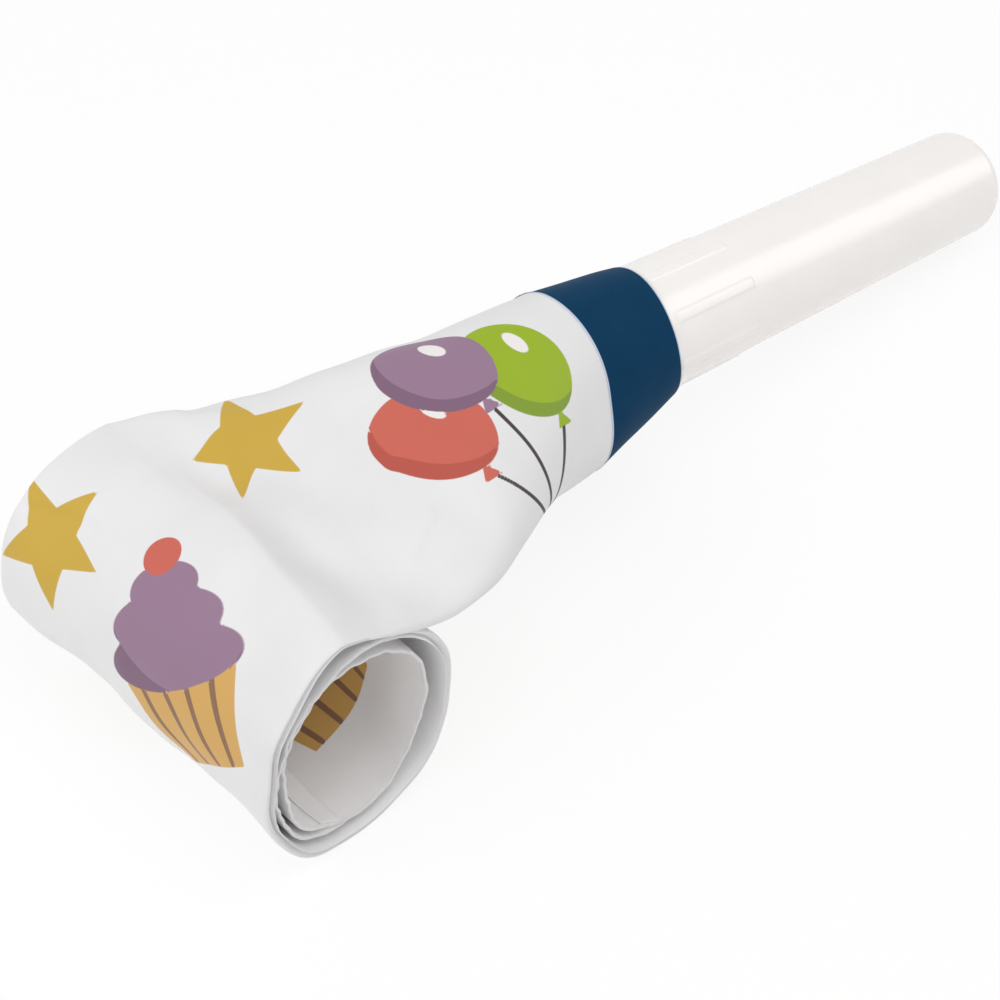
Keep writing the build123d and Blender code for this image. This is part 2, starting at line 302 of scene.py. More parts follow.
def pull(bearing, out_share, in_share):
    """How far the flattened paper drags the joint out of round: one lobe outwards and one inwards."""
    outward = PULL_OUT * out_share * lobe(bearing, *PULL_OUT_BEARING)
    return outward - PULL_IN * in_share * lobe(bearing, *PULL_IN_BEARING)


def through_rows(at):
    """Cubic curves through the rows of NECK_SHAPE, with the slope at each row taken across its neighbours."""
    shares = NECK_SHAPE[:, 0]
    values = NECK_SHAPE[:, 1:]
    slopes = np.gradient(values, shares, axis=0)
    k = np.clip(np.searchsorted(shares, at) - 1, 0, len(shares) - 2)
    span = (shares[k + 1] - shares[k])[:, None]
    t = (at - shares[k])[:, None] / span
    rise = values[k + 1] - values[k]
    bend = 3 * rise - span * (2 * slopes[k] + slopes[k + 1])
    twist = span * (slopes[k] + slopes[k + 1]) - 2 * rise
    return (values[k] + t * (span * slopes[k] + t * (bend + t * twist))).T[:, :, None]


def neck_points(along):
    """Neck surface: a section at each share along, whose halves reach and rise by their own amounts."""
    near, far, top, bottom, lean, flatness = through_rows(along)
    side, rise = tube_section(flatness[:, 0])
    crown = lean * half_width
    far_reach = neck_r + far * (half_width - neck_r) - crown
    near_reach = neck_r + near * (half_width - neck_r) + crown
    height = neck_r + top * (FLAT_HALF_T - neck_r)
    depth = neck_r + bottom * (FLAT_HALF_T - neck_r)
    neck_start = -BAND_LENGTH - NECK_GAP
    x = neck_start + (lead_x - neck_start) * along[:, None] + 0 * side
    y = crown + side * np.where(side >= 0, far_reach, near_reach)
    z = rise * np.where(rise >= 0, height, depth)
    fade = np.clip(1 - along / PULL_FADE, 0, 1)[:, None]
    drag = pull(np.arctan2(z, y), fade, fade)
    reach = np.maximum(np.hypot(y, z), 1e-6)
    return np.stack([x, y * (1 + drag / reach), z * (1 + drag / reach) + lead_z * along[:, None]], axis=-1)


sleeve_x = np.linspace(SLEEVE_FRONT, SLEEVE_SHORT - BAND_LENGTH, SLEEVE_ROWS)[:, None]
sleeve_out = -sleeve_x / BAND_LENGTH
sleeve_r = BAND_FRONT_R - cone_slope * sleeve_x - BAND_T
sleeve_r[0] -= NECK_WALL
sleeve_r = sleeve_r + pull(math.pi / 2 - 2 * math.pi * around, sleeve_out, sleeve_out ** 2)
sleeve = np.stack([
    sleeve_x + 0 * round_y,
    sleeve_r * round_y,
    sleeve_r * np.cos(2 * math.pi * around),
], axis=-1)
neck_along = np.linspace(0.0, 1.0, NECK_ROWS + 1)
neck = neck_points(neck_along)
print(f"neck: {-BAND_LENGTH - lead_x:.1f} mm long, {NECK_ROWS} rows")

# %% [markdown]
# Rolled paper is never a perfect spiral. Held by one hand at the near end, it goes oval there and stays
# round at the far end, its inner turns lie a little loose, and its folds are crumpled. All of this is
# pushed along the normal of the roll, so the layers keep their order and the paper keeps its length.

# %% The rolled tube
OVAL_MEAN = -0.44
OVAL_SIDEWAYS = -0.70
OVAL_UPWARD = 0.78
OVAL_TWOFOLD = 1.26
BULGE = 0.9
BULGE_ANGLE = math.radians(232.0)
BULGE_SPREAD = math.radians(24.0)
SLACK = 0.25
SLACK_SHIFT = -0.40
TAIL_LIFT = 0.35
TAIL_FROM = math.radians(600.0)
TELESCOPE = 0.7
FOLD_HALF_T = 0.26
FOLD_REACH = 1.4
OUTER_EASE = 0.7
CUFF = 0.70
CUFF_REACH = 4.0
GUSSET = 0.70
GUSSET_INNER = 0.3
LIP = 0.30
LIP_REACH = 1.2
RAISE_FROM = 0.55

side, rise = tube_section(np.ones(len(roll_row)))
angle = roll_angle[:, None]
near_share = (1 - side) / 2
oval = (
    OVAL_MEAN
    + OVAL_SIDEWAYS * np.sin(angle)
    + OVAL_UPWARD * np.cos(angle)
    + OVAL_TWOFOLD * np.cos(2 * angle)
    + BULGE * np.exp(-((angle - BULGE_ANGLE) / BULGE_SPREAD) ** 2)
)
inner = smooth_step((angle - 2 * math.pi) / math.pi)
slack = -inner * (SLACK - SLACK_SHIFT * np.cos(angle + math.pi / 4))
slack = slack + TAIL_LIFT * smooth_step((angle - TAIL_FROM) / math.pi)
fold_gap = (1 - np.abs(side)) * half_width
thickness = FLAT_HALF_T + (FOLD_HALF_T - FLAT_HALF_T) * np.exp(-(fold_gap / FOLD_REACH) ** 2)
outer_turn = smooth_step(angle / OUTER_EASE) * smooth_step((2 * math.pi - angle) / OUTER_EASE)
cuff = CUFF * outer_turn * near_share * np.exp(-(fold_gap / CUFF_REACH) ** 2) * np.maximum(rise, 0)
gusset = GUSSET * (GUSSET_INNER + outer_turn) * (1 - np.abs(rise)) ** 2
gusset = gusset - LIP * outer_turn * np.exp(-(fold_gap / LIP_REACH) ** 2) * np.maximum(-rise, 0)
lift = near_share * oval + slack + rise * thickness + cuff
roll = np.stack([
    roll_line[:, 0:1] + roll_normal[:, 0:1] * lift,
    side * (half_width - gusset) + TELESCOPE * inner,
    roll_line[:, 1:2] + roll_normal[:, 1:2] * lift,
], axis=-1)
raise_share = smooth_step((neck_along - RAISE_FROM) / (1 - RAISE_FROM))
neck_raise = (OVAL_MEAN + OVAL_UPWARD + OVAL_TWOFOLD) * raise_share
neck_side = np.clip(neck[:, :, 1] / half_width, -1, 1)
neck[:, :, 2] += neck_raise[:, None] * (1 - neck_side) / 2
print("roll grid:", roll.shape[:2])

# %% [markdown]
# Neck and roll are one sheet of paper, so they are kept as one grid while it is worked on. Distances
# along and round it in millimetres serve the print and the crumples, and normals taken over the whole
# grid stay smooth where the sheet is later cut into pieces at the joints. Where the roll
# starts, the paper buckled into one raised fold, the brow. It slants across the near half of the sheet,
# falls back gently into the roll, and drops in front along a power curve to a shallow dip.

# %% One sheet of paper, with its crumples
CRUMPLE_SEED = 11
CRUMPLE_WAVES = 14
CRUMPLE_LENGTHS = (6.0, 26.0)
CRUMPLE_SHARE = 0.006
CRUMPLE_EASE = 16.0
FOLD_CRUMPLE = 0.045
FOLD_WAVE = (2.3, 4.3, 7.1, 11.9)
FOLD_CRUMPLE_REACH = 2.0
FOLD_EASE = 20.0
RIPPLE_SHIFT = 3
OUTER_TURN_LENGTH = 78.0
OUTER_CRUMPLE = 0.30
LOOSE_RUN = 10.0
BROW_HEIGHT = 2.0
BROW_DIP = 2.2
BROW_WALL = 11.0
BROW_HOLLOW = 1.6
BROW_BACK = 4.5
BROW_RETURN = 14.0
BROW_Y = -10.0
BROW_WIDTH = 16.0
BROW_PLACE = 1.5
BROW_SLANT = 0.125
# Start and end along and across the sheet, height and half width of each crease
CREASES = (
    (27.0, -4.0, 32.0, -8.0, -0.30, 0.9),
    (29.0, -12.5, 33.0, -14.5, 0.30, 0.8),
    (24.0, 3.0, 33.0, 5.0, -0.18, 1.2),
    (55.0, 12.0, 58.0, 20.0, -0.20, 0.8),
    (33.0, 13.0, 37.0, 16.5, -0.35, 1.2),
)

paper = np.concatenate([sleeve, neck, roll[1:]])
sleeve_rows = len(sleeve)
roll_first = sleeve_rows + NECK_ROWS
middle = (paper[:, 0] + paper[:, COLUMNS // 2]) / 2
print_u = np.append(0.0, np.cumsum(np.linalg.norm(np.diff(middle, axis=0), axis=1)))
print_u = (print_u - print_u[sleeve_rows])[:, None] + np.zeros(COLUMNS)
steps = np.linalg.norm(np.roll(paper, -1, axis=1) - paper, axis=2)
girth = steps.sum(axis=1, keepdims=True)
print_v = np.cumsum(steps, axis=1) - steps
print_v = np.where(print_v > girth / 2, print_v - girth, print_v)


def grid_normals(points):
    """Outward unit normals: the cross product of the grid's slope round the tube and its slope along it."""
    ahead = np.gradient(points, axis=0)
    beside = np.roll(points, -1, axis=1) - np.roll(points, 1, axis=1)
    crossed = np.cross(beside, ahead)
    return crossed / np.maximum(np.linalg.norm(crossed, axis=2, keepdims=True), 1e-9)


def bar(x, y, x0, y0, x1, y1, half):
    """Rounded line: distance to the nearest point of a straight stretch, less half the line's width."""
    dx, dy = x1 - x0, y1 - y0
    t = np.clip(((x - x0) * dx + (y - y0) * dy) / (dx * dx + dy * dy), 0, 1)
    return np.hypot(x - x0 - t * dx, y - y0 - t * dy) - half


rng = np.random.default_rng(CRUMPLE_SEED)
wave_length = rng.uniform(*CRUMPLE_LENGTHS, CRUMPLE_WAVES)
wave_turn = rng.uniform(0.0, math.pi, CRUMPLE_WAVES)
wave_phase = rng.uniform(0.0, 2 * math.pi, CRUMPLE_WAVES)
sheet_y = paper[:, :, 1]
crumple = np.zeros_like(print_v)
for length, turn, phase in zip(wave_length, wave_turn, wave_phase):
    travel = print_u * math.cos(turn) + sheet_y * math.sin(turn)
    crumple += CRUMPLE_SHARE * length * np.sin(2 * math.pi * travel / length + phase)
crumple *= smooth_step(print_u / CRUMPLE_EASE)

fold_distance = np.abs(np.abs(print_v) - girth / 4)
roll_u = print_u - print_u[roll_first]
inner_share = smooth_step((roll_u - OUTER_TURN_LENGTH) / LOOSE_RUN)
loose = OUTER_CRUMPLE + (1 - OUTER_CRUMPLE) * inner_share
fold_share = np.exp(-fold_distance / FOLD_CRUMPLE_REACH) * smooth_step(roll_u / FOLD_EASE) * loose
ripple = np.zeros_like(print_v)
for length in FOLD_WAVE:
    ripple += np.sin(2 * math.pi * print_u / length + length * np.sign(sheet_y))

past_brow = roll_u - BROW_PLACE + BROW_SLANT * (sheet_y - BROW_Y)
brow_fall = np.clip(1 + past_brow / BROW_WALL, 0, 1) ** BROW_HOLLOW
brow_front = (BROW_HEIGHT + BROW_DIP) * brow_fall - BROW_DIP
brow_front += BROW_DIP * smooth_step((-past_brow - BROW_WALL) / BROW_RETURN)
brow = np.where(past_brow > 0, BROW_HEIGHT * np.exp(-(past_brow / BROW_BACK) ** 2), brow_front)
crumple += brow * np.exp(-((sheet_y - BROW_Y) / BROW_WIDTH) ** 4)

for u0, y0, u1, y1, height, half in CREASES:
    crumple += height * np.exp(-((bar(print_u, sheet_y, u0, y0, u1, y1, 0.0)) / half) ** 2)

sheet_normal = np.zeros((len(paper), 1, 3))
sheet_normal[:, 0, 2] = 1.0
sheet_normal[roll_first:, 0, 0] = roll_normal[:, 0]
sheet_normal[roll_first:, 0, 2] = roll_normal[:, 1]
paper += (crumple + FOLD_CRUMPLE * fold_share * ripple)[:, :, None] * sheet_normal
paper[:, :, 1] += FOLD_CRUMPLE * fold_share * np.roll(ripple, RIPPLE_SHIFT, axis=0) * np.sign(sheet_y)
paper_normals = grid_normals(paper)

# The tail is closed: both faces of the last row meet half way
other_face = (COLUMNS // 2 - np.arange(COLUMNS)) % COLUMNS
paper[-1] = (paper[-1] + paper[-1, other_face]) / 2
print(f"paper: {paper.shape[0]} x {paper.shape[1]} points, {print_u[-1, 0]:.1f} mm long")

# %% [markdown]
# The print is generic party things in flat colours: balloons, a hat, a present, a cupcake and a star.
# A picture file could hold it, but this lesson uses none. Each shape is a distance in millimetres,
# below zero inside, measured at every point of the sheet. Each ink keeps the least distance of its
# shapes, and the material later turns that number into a crisp edge.


# %% Shapes of the print
def disc(x, y, cx, cy, rx, ry):
    """Ellipse: the length of the place in radii, less one, times the smaller radius."""
    return (np.hypot((x - cx) / rx, (y - cy) / ry) - 1) * min(rx, ry)


def patch(x, y, corners):
    """Convex patch: the largest of the distances to its sides, for corners listed clockwise."""
    inside = np.full(x.shape, -1e3)
    for (x0, y0), (x1, y1) in zip(corners, corners[1:] + corners[:1]):
        length = math.hypot(x1 - x0, y1 - y0)
        inside = np.maximum(inside, ((x - x0) * -(y1 - y0) + (y - y0) * (x1 - x0)) / length)
    return inside


def balloons(x, y):
    """Three balloons: ellipses with a crescent of shade, small knots and strings that meet below."""
    inks = []
    for cx, cy, body, shade in ((-5.6, 2.6, "leaf", "leaf_deep"), (5.6, 1.8, "coral", "coral_deep"),
                                (0.0, 7.4, "plum", "plum_deep")):
        skin = disc(x, y, cx, cy, 4.9, 5.9)
        knot = patch(x, y, [(cx, cy - 5.6), (cx + 1.1, cy - 7.2), (cx - 1.1, cy - 7.2)])
        inks.append(("ink", bar(x, y, cx, cy - 6.6, 0.0, -13.0, 0.22)))
        inks.append((body, np.minimum(skin, knot)))
        inks.append((shade, np.maximum(skin, -disc(x, y, cx - 1.3, cy + 1.0, 4.9, 5.9))))
        inks.append(("gleam", disc(x, y, cx - 1.9, cy + 2.2, 0.8, 1.5)))
    return inks


def party_hat(x, y):
    """Striped cone: a triangle cut by slanted bands, a rim and a round tuft."""
    cone = patch(x, y, [(0.0, 10.0), (7.6, -9.0), (-7.6, -9.0)])
    slant = (y + 0.42 * x) % 5.4
    bands = np.maximum(cone, np.abs(slant - 2.7) - 1.15)
    shade = np.maximum(cone, -patch(x, y, [(-1.2, 10.0), (4.4, -9.4), (-9.0, -9.4)]))
    tuft = disc(x, y, 0.0, 10.6, 2.5, 2.5)
    rim = bar(x, y, -7.2, -9.3, 7.2, -9.3, 0.95)
    return [("coral", cone), ("mustard", bands), ("coral_deep", shade), ("leaf", tuft), ("plum", rim)]


def present(x, y):
    """Wrapped box: a square with a lid, a ribbon up the middle and a bow of two loops."""
    box = patch(x, y, [(-8.2, 3.0), (8.2, 3.0), (8.2, -10.0), (-8.2, -10.0)])
    lid = patch(x, y, [(-9.4, 6.2), (9.4, 6.2), (9.4, 2.4), (-9.4, 2.4)])
    ribbon = np.maximum(np.minimum(box, lid), np.abs(x) - 1.7)
    loops = np.minimum(disc(x + 0.5 * y, y, -0.1, 8.7, 3.6, 2.2), disc(x - 0.5 * y, y, 0.1, 8.7, 3.6, 2.2))
    knot = disc(x, y, 0.0, 7.0, 1.5, 1.4)
    return [("leaf", box), ("leaf_deep", lid), ("mustard", np.minimum(ribbon, loops)), ("tan", knot)]


def cupcake(x, y):
    """Cake in a pleated cup: a tapered cup with dark pleats, three rolls of icing and a cherry."""
    cup = patch(x, y, [(-7.4, 0.0), (7.4, 0.0), (5.2, -9.0), (-5.2, -9.0)])
    pleat = (x / (1 + 0.028 * (y + 4.5)) + 20) % 2.9
    pleats = np.maximum(cup, np.abs(pleat - 1.45) - 0.32)
    lower = disc(x, y, 0.0, 1.4, 8.3, 2.9)
    upper = disc(x, y, 0.0, 4.6, 6.2, 2.7)
    peak = disc(x, y, 0.0, 7.4, 3.6, 2.4)
    icing = np.minimum(np.minimum(lower, upper), peak)
    shade = np.maximum(icing, -disc(x, y, -1.8, 5.6, 7.8, 7.4))
    cherry = disc(x, y, 0.4, 10.4, 1.9, 1.9)
    return [("tan", cup), ("cocoa", pleats), ("plum", icing), ("plum_deep", shade), ("coral", cherry)]


def star(x, y):
    """Five-pointed star: the place is folded into one point, and its side is a straight line."""
    turn = 2 * math.pi / 5
    bearing = (np.arctan2(x, y) + turn / 2) % turn - turn / 2
    reach = np.hypot(x, y)
    px, py = np.abs(reach * np.sin(bearing)), reach * np.cos(bearing)
    tip, notch = 6.4, 2.9
    nx, ny = notch * math.sin(turn / 2), notch * math.cos(turn / 2)
    length = math.hypot(nx, tip - ny)
    return [("mustard", (px * (tip - ny) - (tip - py) * nx) / length)]


print("motifs: balloons, party_hat, present, cupcake, star")

# %% [markdown]
# The motifs are strewn over the whole tube, so that it looks printed when it rolls out and when it is
# turned over. Each row of the layout gives a place along and round the tube and a turn. The face that
# lies inside the roll is painted a lighter white, painted light for light reaching into the roll, and a field of
# its own tells where.

# %% Where the print lies
PRINT_SCALE = 1.15
PRINT_REACH = 19.0
PRINT_FAR = 3.0
INK_OVERLAP = 0.10
# Painted light: where the lighter white on the face inside the roll begins, and how softly it comes in
INSIDE_LIGHT_EDGE = 1.0
INSIDE_LIGHT_FROM = 75.0
INSIDE_LIGHT_RUN = 15.0
PRINT_LAYOUT = (
    (balloons, 16.0, -9.0, 8.0),
    (star, 36.0, 5.0, -20.0),
    (cupcake, 61.0, -6.0, -48.0),
    (star, 59.0, 15.5, -30.0),
    (present, 89.0, 6.0, -20.0),
    (star, 101.0, -12.0, 10.0),
    (party_hat, 117.0, 4.0, 80.0),
    (cupcake, 145.0, -6.0, 150.0),
    (balloons, 173.0, 6.0, 195.0),
    (present, 203.0, -6.0, 160.0),
    (star, 220.0, 9.0, 70.0),
    (present, 31.0, 33.0, 165.0),
    (star, 60.0, -34.0, 15.0),
    (party_hat, 84.0, 33.0, 100.0),
    (star, 101.0, -33.0, 40.0),
    (cupcake, 113.0, 34.0, 20.0),
    (present, 141.0, 33.0, 60.0),
    (cupcake, 171.0, -41.0, 180.0),
    (party_hat, 197.0, 34.0, 200.0),
    (star, 207.0, -34.0, 60.0),
)

INKS = {
    "leaf": "#98B31E",
    "coral": "#CB6556",
    "plum": "#967890",
    "tan": "#D5A85F",
    "mustard": "#CBA842",
    "leaf_deep": "#7F9A28",
    "coral_deep": "#B85447",
    "plum_deep": "#7E6077",
    "cocoa": "#8C6A52",
    "gleam": "#F1ECEA",
    "ink": "#3E3438",
}
ink_fields = {name: np.full(print_v.shape, PRINT_FAR) for name in INKS}
for motif, place_u, place_v, turn in PRINT_LAYOUT:
    off_u = print_u - place_u
    off_v = (print_v - place_v + girth / 2) % girth - girth / 2
    close = np.hypot(off_u, off_v) < PRINT_REACH
    c, s = math.cos(math.radians(turn)), math.sin(math.radians(turn))
    x = (off_u[close] * c - off_v[close] * s) / PRINT_SCALE
    y = (off_u[close] * s + off_v[close] * c) / PRINT_SCALE
    for ink, distance in motif(x, y):
        for name, field in ink_fields.items():
            if name == ink:
                field[close] = np.minimum(field[close], distance * PRINT_SCALE)
            else:
                field[close] = np.maximum(field[close], -distance * PRINT_SCALE - INK_OVERLAP)
# Painted light: share of lighter white on the face inside the roll, past the folds and the outer turn, for light
# reaching into the roll
past_edge = (np.abs(print_v) - girth / 4) / INSIDE_LIGHT_EDGE
along_roll = (print_u - INSIDE_LIGHT_FROM) / INSIDE_LIGHT_RUN
inside_painted_light = smooth_step(past_edge) * smooth_step(along_roll)
print(f"print: {len(PRINT_LAYOUT)} motifs in {len(INKS)} inks")

# %% [markdown]
# Colours are written as the hex values that a picture shows. Blender's shaders work in linear light,
# so one function converts them. One more small function adds a node, sets it and links it, which
# keeps each material readable from top to bottom.


# %% Helpers for materials
def linear(hex_colour):
    """Linear colour from an sRGB hex value: the usual curve, straight near black and a power above."""
    srgb = np.array([int(hex_colour[k:k + 2], 16) for k in (1, 3, 5)]) / 255
    value = np.where(srgb <= 0.04045, srgb / 12.92, ((srgb + 0.055) / 1.055) ** 2.4)
    return (*value.tolist(), 1.0)


def add(tree, kind, inputs=None, **settings):
    """Adds a node, gives it its settings, then sets or links each named input."""
    made = tree.nodes.new(kind)
    for key, value in settings.items():
        setattr(made, key, value)
    for key, value in (inputs or {}).items():
        if isinstance(value, bpy.types.NodeSocket):
            tree.links.new(value, made.inputs[key])
        else:
            made.inputs[key].default_value = value
    return made


def new_material(name):
    """Empty node material and its tree."""
    made = bpy.data.materials.new(name)
    made.use_nodes = True
    made.node_tree.nodes.clear()
    return made, made.node_tree


print("material helpers are ready")

# %% [markdown]
# Party paper is thin coated paper: off-white, nearly matt, with a soft sheen at a low angle and a
# faint cloudiness of fibres. The inks are flat. Each ink field is a distance, so a narrow ramp round
# zero draws its edge as crisply as a printing plate.

# %% Printed coated paper
FIBRE_SIZE = 0.45
CLOUD_SIZE = 6.0
INK_EDGE = 0.05


def printed_coated_paper():
    """Off-white paper with flat inks, a fibre bump and a weak coating, and a lighter white painted on the face
    inside the roll as painted light.
    """
    material, tree = new_material("printed_coated_paper")
    place = add(tree, "ShaderNodeTexCoord").outputs["Object"]
    cloud = add(tree, "ShaderNodeTexNoise", {"Vector": place, "Scale": 1 / (CLOUD_SIZE * MM), "Detail": 3.0})
    fibre = add(tree, "ShaderNodeTexNoise", {"Vector": place, "Scale": 1 / (FIBRE_SIZE * MM), "Detail": 4.0})
    colour = add(tree, "ShaderNodeMix", {
        "Factor": cloud.outputs["Fac"], "A": linear("#E5E4E5"), "B": linear("#ECEBEB"),
    }, data_type="RGBA").outputs["Result"]
    # Painted light: the face inside the roll is mixed towards a lighter white, for light that reaches into the
    # roll
    inside_light_share = add(tree, "ShaderNodeAttribute", attribute_name="inside_painted_light")
    colour = add(tree, "ShaderNodeMix", {
        "Factor": inside_light_share.outputs["Fac"], "A": colour, "B": linear("#F6F5F5"),
    }, data_type="RGBA").outputs["Result"]
    for name, shade in INKS.items():
        field = add(tree, "ShaderNodeAttribute", attribute_name="ink_" + name)
        cover = add(tree, "ShaderNodeMapRange", {
            "Value": field.outputs["Fac"], "From Min": INK_EDGE, "From Max": -INK_EDGE,
        })
        colour = add(tree, "ShaderNodeMix", {
            "Factor": cover.outputs["Result"], "A": colour, "B": linear(shade),
        }, data_type="RGBA").outputs["Result"]
    bump = add(tree, "ShaderNodeBump", {
        "Height": fibre.outputs["Fac"], "Strength": 0.25, "Distance": 0.05 * MM,
    })
    shader = add(tree, "ShaderNodeBsdfPrincipled", {
        "Base Color": colour, "Roughness": 0.55, "IOR": 1.45, "Specular IOR Level": 0.35,
        "Sheen Weight": 0.08, "Sheen Roughness": 0.5, "Normal": bump.outputs["Normal"],
    })
    add(tree, "ShaderNodeOutputMaterial", {"Surface": shader.outputs["BSDF"]})
    return material


paper_finish = printed_coated_paper()
print("material:", paper_finish.name)

# %% [markdown]
# The sheet is now cut where the joints need it. The neck stays on the horn. Each stretch of the roll
# runs from the middle of one arc to the middle of the next and stays where it is made, and the last
# stretch rides on the last body of the roll. Neighbours meet at the middle of an arc.


def paper_piece(name, first, last):
    """One stretch of the sheet between two of its rows, columns reversed so that its faces look outwards."""
    outwards = (slice(first, last + 1), slice(None, None, -1))
    fields = {"ink_" + ink: values[outwards] for ink, values in ink_fields.items()}
    # The painted light on the face inside the roll goes with each piece as an attribute
    fields["inside_painted_light"] = inside_painted_light[outwards]
    made = grid_piece(name, paper[outwards], True, fields=fields, normals=paper_normals[outwards])
    made.data.materials.append(paper_finish)
    return made


def bend_with_roll(piece, k, node):
    """Stretch k stays where it is made and the imported node after its hinge is hidden; the last one rides on the
    last body.
    """
    if k == arc_count:
        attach(piece, f"roll_{k:02d}")
        return
    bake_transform(piece)
    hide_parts(f"{node}_{k + 1:02d}")


neck_piece = paper_piece("paper_neck_skin", 0, roll_first)
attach(neck_piece, "horn")
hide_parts("paper_neck")

cuts = [0] + [k * ROWS_PER_ARC + ROWS_PER_ARC // 2 for k in range(arc_count)] + [len(roll_row) - 1]
for k in range(arc_count + 1):
    stretch = paper_piece(f"paper_roll_{k:02d}", roll_first + cuts[k], roll_first + cuts[k + 1])
    bend_with_roll(stretch, k, "tongue")
print(f"paper pieces: 1 neck and {arc_count + 1} stretches of the roll")

# %% [markdown]
# A narrow plastic strip lies inside the flat tube and curls it up again after each breath. It hides in
# the paper, but it is a real piece, so it is made as a thin ribbon, cut into stretches like the paper. Four
# corners are carried along the line midway between the paper's two faces, and both ends close to a point.

# %% Recoil strip
STRIP_WIDTH = 1.2
STRIP_HALF_T = 0.12
STRIP_LEAD_ROWS = 5
HAZE_SIZE = 0.8


def set_plastic_strip():
    """Clear-white polyester strip, calendered smooth, which gives a soft even gloss."""
    material, tree = new_material("calendered_polyester_strip")
    place = add(tree, "ShaderNodeTexCoord").outputs["Object"]
    haze = add(tree, "ShaderNodeTexNoise", {"Vector": place, "Scale": 1 / (HAZE_SIZE * MM), "Detail": 2.0})
    tone = add(tree, "ShaderNodeMix", {
        "Factor": haze.outputs["Fac"], "A": linear("#DADBD6"), "B": linear("#E6E6E2"),
    }, data_type="RGBA")
    shader = add(tree, "ShaderNodeBsdfPrincipled", {
        "Base Color": tone.outputs["Result"], "Roughness": 0.3, "IOR": 1.57,
    })
    add(tree, "ShaderNodeOutputMaterial", {"Surface": shader.outputs["BSDF"]})
    return material


strip_finish = set_plastic_strip()
far_line = (paper[:, 1] + paper[:, COLUMNS // 2 - 1]) / 2
near_line = (paper[:, -1] + paper[:, COLUMNS // 2 + 1]) / 2
strip_across = (far_line - near_line) / (far_line - near_line)[:, 1:2]
strip_first = roll_first - STRIP_LEAD_ROWS
strip_size = np.ones((len(paper), 1, 1))
strip_size[[strip_first, -1]] = 0.0
corner_across = np.array([1, -1, -1, 1])[:, None] * STRIP_WIDTH / 2 * strip_across[:, None]
corner_above = np.array([1, 1, -1, -1])[:, None] * STRIP_HALF_T * sheet_normal
ribbon = ((far_line + near_line) / 2)[:, None] + strip_size * (corner_across + corner_above)
for k in range(arc_count + 1):
    first = strip_first if k == 0 else roll_first + cuts[k]
    strip = grid_piece(f"recoil_strip_{k:02d}", ribbon[first:roll_first + cuts[k + 1] + 1], True)
    strip.data.materials.append(strip_finish)
    bend_with_roll(strip, k, "coil")
    if k == 0:
        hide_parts("coil_00")
print(f"recoil strip: {arc_count + 1} stretches, {STRIP_WIDTH} mm wide")

# %% [markdown]
# A folded tape closes the inner end of the tube, so that breath can fill it. It follows the paper up
# one face, round the end and down the other, so the paper's own last rows, lifted by a small clearance,
# are its surface. A Solidify modifier gives it the thickness of tape.

# %% Seal tape at the inner end
SEAL_LAP = 3.0
SEAL_T = 0.10
SEAL_CLEAR = 0.06
SEAL_MARGIN = 5
SEAL_COLUMN_STEP = 2
TAPE_FIBRE = 0.5


def gummed_paper_tape():
    """White gummed tape: plain uncoated paper, matt and slightly warm, with a fibrous surface."""
    material, tree = new_material("gummed_paper_tape")
    place = add(tree, "ShaderNodeTexCoord").outputs["Object"]
    fibre = add(tree, "ShaderNodeTexNoise", {"Vector": place, "Scale": 1 / (TAPE_FIBRE * MM), "Detail": 4.0})
    tone = add(tree, "ShaderNodeMix", {
        "Factor": fibre.outputs["Fac"], "A": linear("#F4F3F3"), "B": linear("#F6F5F5"),
    }, data_type="RGBA")
    bump = add(tree, "ShaderNodeBump", {
        "Height": fibre.outputs["Fac"], "Strength": 0.3, "Distance": 0.05 * MM,
    })
    shader = add(tree, "ShaderNodeBsdfPrincipled", {
        "Base Color": tone.outputs["Result"], "Roughness": 0.8, "Normal": bump.outputs["Normal"],
    })
    add(tree, "ShaderNodeOutputMaterial", {"Surface": shader.outputs["BSDF"]})
    return material


lap_row = roll_first + int(np.argmin(np.abs(roll_length - roll_length[-1] + SEAL_LAP)))
tape_reach = COLUMNS // 4 - SEAL_MARGIN
tape_columns = np.arange(tape_reach, -tape_reach - 1, -SEAL_COLUMN_STEP)
lifted = (paper + SEAL_CLEAR * paper_normals)[lap_row:]
upper = lifted[:, tape_columns]
under = lifted[:, COLUMNS // 2 - tape_columns]
seal_points = np.concatenate([upper, under[::-1]])
seal = grid_piece("seal_tape", seal_points, False)
seal.data.materials.append(gummed_paper_tape())
tape = seal.modifiers.new("tape_thickness", "SOLIDIFY")
tape.thickness = SEAL_T * MM
tape.offset = 1.0
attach(seal, f"roll_{arc_count:02d}")
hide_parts("end_seal")
print(f"seal tape: {SEAL_LAP} mm lap, {seal_points.shape[0]} x {seal_points.shape[1]} points")

# %% [markdown]
# The band is a strip of dark blue paper wound once round the joint between neck and mouthpiece, with a
# short lap. Its cut edges show the white core of the paper as a thin pale line. A closed outline of the
# strip's section is turned about the mouthpiece, and an attribute marks the rows along the cut.

# %% Paper band
BAND_COLUMNS = 256
BAND_ROWS = 60
CUT_WIDTH = 0.22
CUT_BLEND = 0.03
CUT_MARGIN = 0.3
EDGE_ROUND = 0.04
LAP_BEARING = math.radians(250.0)
LAP_ARC = 0.55
LAP_STEP = 0.10
LAP_FRONT = 0.02
LAP_FADE = 0.25
BAND_WAVE = 0.06
BAND_WAVES = 5
BAND_WAVE_TWIST = 0.35
FRONT_PULL = 0.2
EDGE_MEAN = 0.1
EDGE_SADDLE = 0.7
EDGE_BEARING = math.radians(138.0)
BAND_FIBRE = 0.5
BLOTCH = 4.0

